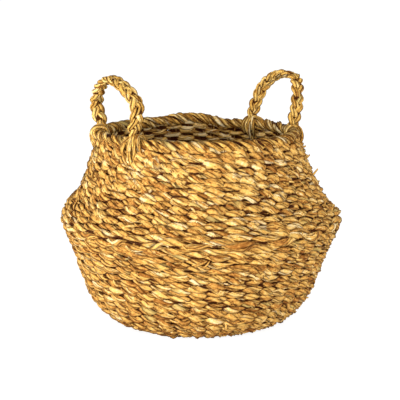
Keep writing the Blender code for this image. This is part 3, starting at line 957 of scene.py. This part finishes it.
def makeBorder():
    guide = newGuide()
    rng = np.random.default_rng(7)
    count = border["turns"] * border["pointsEachTurn"]
    angle = np.arange(count) / count * fullTurn
    for strand in range(border["strands"]):
        turn = fullTurn * strand / border["strands"] - border["turns"] * angle
        turn = turn + wander(rng, count, border["turns"] * 2, border["turnStray"], True)
        swell = 1.0 + wander(rng, count, border["turns"], border["reachStray"], True)
        reach = border["reach"] * mm * swell
        lift = wander(rng, count, border["liftKnots"], border["liftStray"] * mm, True)
        place = polar(border["radius"] * mm + np.cos(turn) * reach, angle,
                      border["height"] * mm + np.sin(turn) * reach + lift)
        outward = polar(np.cos(turn), angle, np.sin(turn))
        wide = np.cross(outward, slopeOf(place, True))
        addBundle(guide, rng, place, wide, border, border["bladeTurns"] * angle, True)
    return sweepPiece("rolledBorder", guide, borderSeagrass, borderDepth)


# The handles: three bundles plaited, on an arch that leans outwards; the left one is spread
handles = {
    "hinge": (107.733, 247.092),
    "chordHalf": 49.2,
    "leg": 6.8,
    "lean": {"right": 15.0, "left": 7.0},
    "spread": {"right": 0.0, "left": 0.20},
    "spreadRise": 26.0,
    "cycles": 4.8,
    "phaseStray": 0.20,
    "phaseKnots": 8,
    "swing": 4.3,
    "straighten": 0.09,  # the strands run straighter between their turns than a plain wave
    "weave": 1.8,
    "halfWide": 4.4,
    "halfThick": 2.8,
    "endRun": 8.0,  # mm over the hinge where the strands grow to full size
    "endNarrower": 0.25,
    "endThinner": 0.2,
    "blades": 5,
    "twistRun": 240.0,  # mm for a full turn
    "tone": 0.47,
    "tidy": 0.18,
    "shade": 1.7,  # how fast the painted shade darkens it towards the middle
    # How far the arch stands out on the camera's side, and how far its top bulges, in mm
    "nearBulge": {"right": (0.5, -0.5, 0.0), "left": (4.0, -4.0, 1.5)},
    "topBulge": {"right": (2.5, -4.0, 3.5), "left": (0.0, 0.0, 1.6)},
    "topBulgePlace": {"right": -24.0, "left": 0.0},
    "topBulgeSpread": 18.0,
    "nearReach": 60.0,  # mm towards the camera's side, where the first is in full
    "nearLevels": (6.0, 30.0),  # mm over the hinge where it starts, and how far it grows
    "topLevels": (18.0, 26.0),
    "step": 1.6,
    "below": 7.0,  # mm of each leg under the hinge, between the roots
}


# Place in the handle's own plane at each distance along its arch
def archPlace(distance, spread):
    chord = handles["chordHalf"] * mm
    leg = handles["leg"] * mm
    arch = math.pi * chord
    turn = np.clip((distance - leg) / chord, 0.0, math.pi)
    past = np.maximum(distance - leg - arch, 0.0)
    height = np.minimum(distance, leg) + np.sin(turn) * chord - past
    share = ease(np.clip(height / (handles["spreadRise"] * mm), 0.0, 1.0))
    side = -np.cos(turn) * chord * (1.0 + spread * share)
    return np.stack([np.zeros_like(side), side, height], axis=1)


def makeHandle(word, facing, seed):
    guide = newGuide()
    rng = np.random.default_rng(seed)
    below = handles["below"] * mm
    total = math.pi * handles["chordHalf"] * mm + 2.0 * handles["leg"] * mm
    distance = np.arange(-below, total + below, handles["step"] * mm)
    place = archPlace(distance, handles["spread"][word])
    out = np.array([1.0, 0.0, 0.0])
    side = np.cross(out, slopeOf(place, False))
    lean = math.radians(handles["lean"][word])
    leanTurn = np.array([[math.cos(lean), 0.0, -math.sin(lean)], [0.0, 1.0, 0.0],
                         [math.sin(lean), 0.0, math.cos(lean)]])
    yaw = turnAboutUp(facing)
    hinge = np.array([handles["hinge"][0], 0.0, handles["hinge"][1]]) * mm
    wide = (np.broadcast_to(out, place.shape) @ leanTurn) @ yaw
    thick = (side @ leanTurn) @ yaw
    line = (place @ leanTurn + hinge) @ yaw

    def over(levels):
        start, rise = handles[levels]
        return ease(np.clip((line[:, 2] - hinge[2] - start * mm) / (rise * mm), 0.0, 1.0))

    near = ease(np.clip(-line[:, 1] / (handles["nearReach"] * mm), 0.0, 1.0)) * over("nearLevels")
    line = line + near[:, None] * np.array(handles["nearBulge"][word]) * mm
    beside = (line[:, 1] / mm - handles["topBulgePlace"][word]) / handles["topBulgeSpread"]
    top = np.exp(-beside ** 2) * over("topLevels")
    line = line + top[:, None] * np.array(handles["topBulge"][word]) * mm
    ends = np.minimum(distance + below, total + below - distance)
    thin = 1.0 - np.clip(ends / (below + handles["endRun"] * mm), 0.0, 1.0)
    halfWide = handles["halfWide"] * (1.0 - handles["endNarrower"] * thin)
    halfThick = handles["halfThick"] * (1.0 - handles["endThinner"] * thin)
    twist = fullTurn * distance / (handles["twistRun"] * mm)
    for strand in range(3):
        stray = wander(rng, len(distance), handles["phaseKnots"], handles["phaseStray"], False)
        phase = fullTurn * (handles["cycles"] * distance / total + strand / 3.0) + stray
        across = np.sin(phase) - handles["straighten"] * np.sin(3.0 * phase)
        across = across * handles["swing"] * mm
        through = np.sin(2.0 * phase) * handles["weave"] * mm
        centre = line + wide * across[:, None] + thick * through[:, None]
        addBundle(guide, rng, centre, wide, handles, twist, False, halfWide=halfWide,
                  halfThick=halfThick)

    # Painted shade gathers towards the middle of the plait
    def plaitDepth(corners):
        far = np.linalg.norm(corners[:, None, :] - line[None, ::2, :], axis=2)
        index = np.argmin(far, axis=1) * 2
        offset = corners - line[index]
        broad = np.sum(offset * wide[index], axis=1) / (handles["swing"] + handles["halfWide"])
        deep = np.sum(offset * thick[index], axis=1) / (handles["weave"] + handles["halfThick"])
        return handles["shade"] * (1.0 - np.hypot(broad, deep) / mm)

    return sweepPiece(word + "HandlePlait", guide, plaitedSeagrass, plaitDepth)


# Where a handle ends, its blades splay over the border and down both sides of the wall
roots = {
    "angle": 24.545,
    "outside": [(117.0, 243.4), (121.4, 242.2), (125.0, 238.8), (126.8, 233.4), (127.6, 227.5),
                (129.4, 219.0), (131.8, 211.5), (134.6, 203.5), (137.2, 195.5)],
    "inside": [(119.5, 243.4), (114.7, 242.4), (111.2, 239.4), (109.4, 234.0), (109.6, 227.5),
               (111.9, 219.0), (114.2, 211.0)],
    # Where each strand starts, how far it bows aside, where it ends, and how far down it goes
    "outsideFans": [(2.5, -12.0, -2.0, 34.0), (-2.0, 3.0, -6.0, 31.0), (1.0, -5.0, 5.0, 37.0),
                    (-3.0, 7.0, 2.0, 28.0), (3.0, 3.0, 13.0, 17.0)],
    "insideFans": [(2.0, -6.0, -3.0, 26.0), (-1.5, -1.0, 3.0, 34.0), (1.0, 4.0, -1.0, 31.0),
                   (3.0, 3.0, 10.0, 20.0)],
    "reachShare": {(math.pi, 1.0): 1.0},
    "otherReach": 0.74,
    "lobe": {(math.pi, -1.0): 2.2},  # mm, the far left root stands off the wall
    "lobeThick": 0.7,  # of the lobe, added to a strand's thickness
    "halfWide": 2.9,
    "halfThick": 2.2,
    "thinning": 0.45,  # of both, towards the end
    "blades": 4,
    "step": 1.6,
    "overTop": 9.0,  # mm of a strand that lie over the border
    "lift": (-0.4, 0.7),  # mm off the wall
    "twist": (2.0, 4.5),
    "tone": 0.47,
    "toneSpread": 0.06,
    "tidy": 0.5,
    "tuck": 5.0,  # mm, how deep the ends go into the weave
    "tuckFrom": 0.55,  # of the length
}


def makeRoots(name, facing, seed):
    guide = newGuide()
    rng = np.random.default_rng(seed)
    for sign in (-1.0, 1.0):
        spin = turnAboutUp(facing + sign * math.radians(roots["angle"]))
        for word, inwards in (("outside", -1.0), ("inside", 1.0)):
            whole = evenLine(smoothLine(roots[word], wall["step"]), roots["step"])
            isOutside = word == "outside"
            reachShare = roots["reachShare"].get((facing, sign), roots["otherReach"])
            lobe = roots["lobe"].get((facing, sign), 0.0) if isOutside else 0.0
            for start, bow, far, reach in roots[word + "Fans"]:
                if isOutside:
                    reach = reach * reachShare
                line = whole[:int((reach + roots["overTop"]) / roots["step"])] * mm
                share = np.linspace(0.0, 1.0, len(line))
                bowed = np.sin(share * math.pi)
                offset = (partWay(start, far, share) + bow * bowed) * mm
                dive = np.clip((share - roots["tuckFrom"]) / (1.0 - roots["tuckFrom"]), 0.0, 1.0)
                dive = roots["tuck"] * mm * dive ** 1.5
                lift = bowed * rng.uniform(*roots["lift"]) * mm
                stand = line[:, 0] + inwards * dive - inwards * lift + lobe * mm * bowed
                place = np.stack([stand, offset, line[:, 1]], axis=1) @ spin
                thin = 1.0 - roots["thinning"] * share ** 2
                twist = np.linspace(0.0, rng.uniform(*roots["twist"]), len(line))
                addBundle(guide, rng, place, spin[1], roots, twist, False,
                          halfWide=roots["halfWide"] * thin,
                          halfThick=(roots["halfThick"] + roots["lobeThick"] * lobe) * thin,
                          tone=roots["tone"] + rng.normal(0.0, roots["toneSpread"]))
    return sweepPiece(name, guide, plaitedSeagrass, lambda place: np.zeros(len(place)))


# Which CAD nodes each piece stands for
laneNames = [f"upright_{word}_{k:02d}" for word in ("low", "high") for k in range(1, 12)]
uprightPiece = makeUprights()
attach(uprightPiece, "basket")
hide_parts(*laneNames)

for piece in makeWeave():
    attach(piece, "basket")
    if piece.name.startswith("base"):
        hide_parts("base_underside", "base_floor")
    elif piece.name.startswith("loose"):
        continue
    elif piece.name.startswith("lower"):
        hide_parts("lower_wall_outer", "lower_wall_inner")
    else:
        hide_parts("upper_wall_outer", "upper_wall_inner")

borderPiece = makeBorder()
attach(borderPiece, "basket")
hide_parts("rolled_border")

for word, facing, seed in (("right", 0.0, 21), ("left", math.pi, 22)):
    rootPiece = makeRoots(word + "HandleRoots", facing, seed + 10)
    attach(rootPiece, "basket")
    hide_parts(word + "_handle_root_front", word + "_handle_root_back")
    plaitPiece = makeHandle(word, facing, seed)
    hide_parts(*[f"{word}_handle_strand_{k}" for k in (1, 2, 3)])
    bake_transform(plaitPiece)
print("basket dressed")


# A plain pale studio: white floor, soft light from the left and the front, a pale world
studio = {
    "floorSize": 60.0,
    "floorShadow": 0.30,  # how much of the real shadow the camera sees
    "floorGlow": 1.28,
    "worldLight": 0.54,
    "aim": (0.0, 0.0, 0.14),
    # Name, place in metres, watts and size in metres; the last one reaches into the mouth
    "lamps": [("keyLamp", (-1.75, -0.90, 0.80), 4.5, 0.6),
              ("fillLamp", (0.85, -1.80, 0.22), 30.0, 1.0),
              ("sideLamp", (-1.70, -0.30, 0.15), 43.0, 0.6),
              ("topLamp", (-0.60, -1.30, 0.68), 8.0, 0.5)],
}


def addFloor():
    half = studio["floorSize"] / 2.0
    mesh = bpy.data.meshes.new("studioFloor")
    corners = [(-half, -half, 0.0), (half, -half, 0.0), (half, half, 0.0), (-half, half, 0.0)]
    mesh.from_pydata(corners, [], [(0, 1, 2, 3)])
    floor = addObject("studioFloor", mesh)
    material = bpy.data.materials.new("whiteStudioPaper")
    tree = emptyTree(material)
    paper = addNode(tree, "ShaderNodeBsdfDiffuse", None, {"Color": linear("#FAFAFA")})
    glow = addNode(tree, "ShaderNodeEmission", None,
                   {"Color": linear("#FFFFFF"), "Strength": studio["floorGlow"]})
    path = addNode(tree, "ShaderNodeLightPath")
    shown = addNode(tree, "ShaderNodeMath", {"operation": "MULTIPLY"},
                    {1: 1.0 - studio["floorShadow"]}, {0: path.outputs["Is Camera Ray"]})
    mixed = addNode(tree, "ShaderNodeMixShader", None, None,
                    {0: shown.outputs[0], 1: paper.outputs[0], 2: glow.outputs[0]})
    addNode(tree, "ShaderNodeOutputMaterial", None, None, {"Surface": mixed.outputs[0]})
    mesh.materials.append(material)


def addWorld():
    world = bpy.data.worlds.new("paleStudio")
    bpy.context.scene.world = world
    tree = emptyTree(world)
    path = addNode(tree, "ShaderNodeLightPath")
    seen = addNode(tree, "ShaderNodeMath", {"operation": "MULTIPLY_ADD"},
                   {1: 1.0 - studio["worldLight"], 2: studio["worldLight"]},
                   {0: path.outputs["Is Camera Ray"]})
    sky = addNode(tree, "ShaderNodeBackground", None, {"Color": linear("#FFFFFF")},
                  {"Strength": seen.outputs[0]})
    addNode(tree, "ShaderNodeOutputWorld", None, None, {"Surface": sky.outputs[0]})


def addLamp(name, place, power, size):
    data = bpy.data.lights.new(name, "AREA")
    data.energy = power
    data.size = size
    lamp = addObject(name, data)
    lamp.location = place
    aim = np.array(studio["aim"]) - np.array(place)
    level = math.hypot(aim[0], aim[1])
    lamp.rotation_euler = (math.atan2(level, -aim[2]), 0.0, math.atan2(-aim[0], aim[1]))


addFloor()
addWorld()
for lampFacts in studio["lamps"]:
    addLamp(*lampFacts)
bpy.context.scene.view_settings.view_transform = "Standard"
print("studio set")
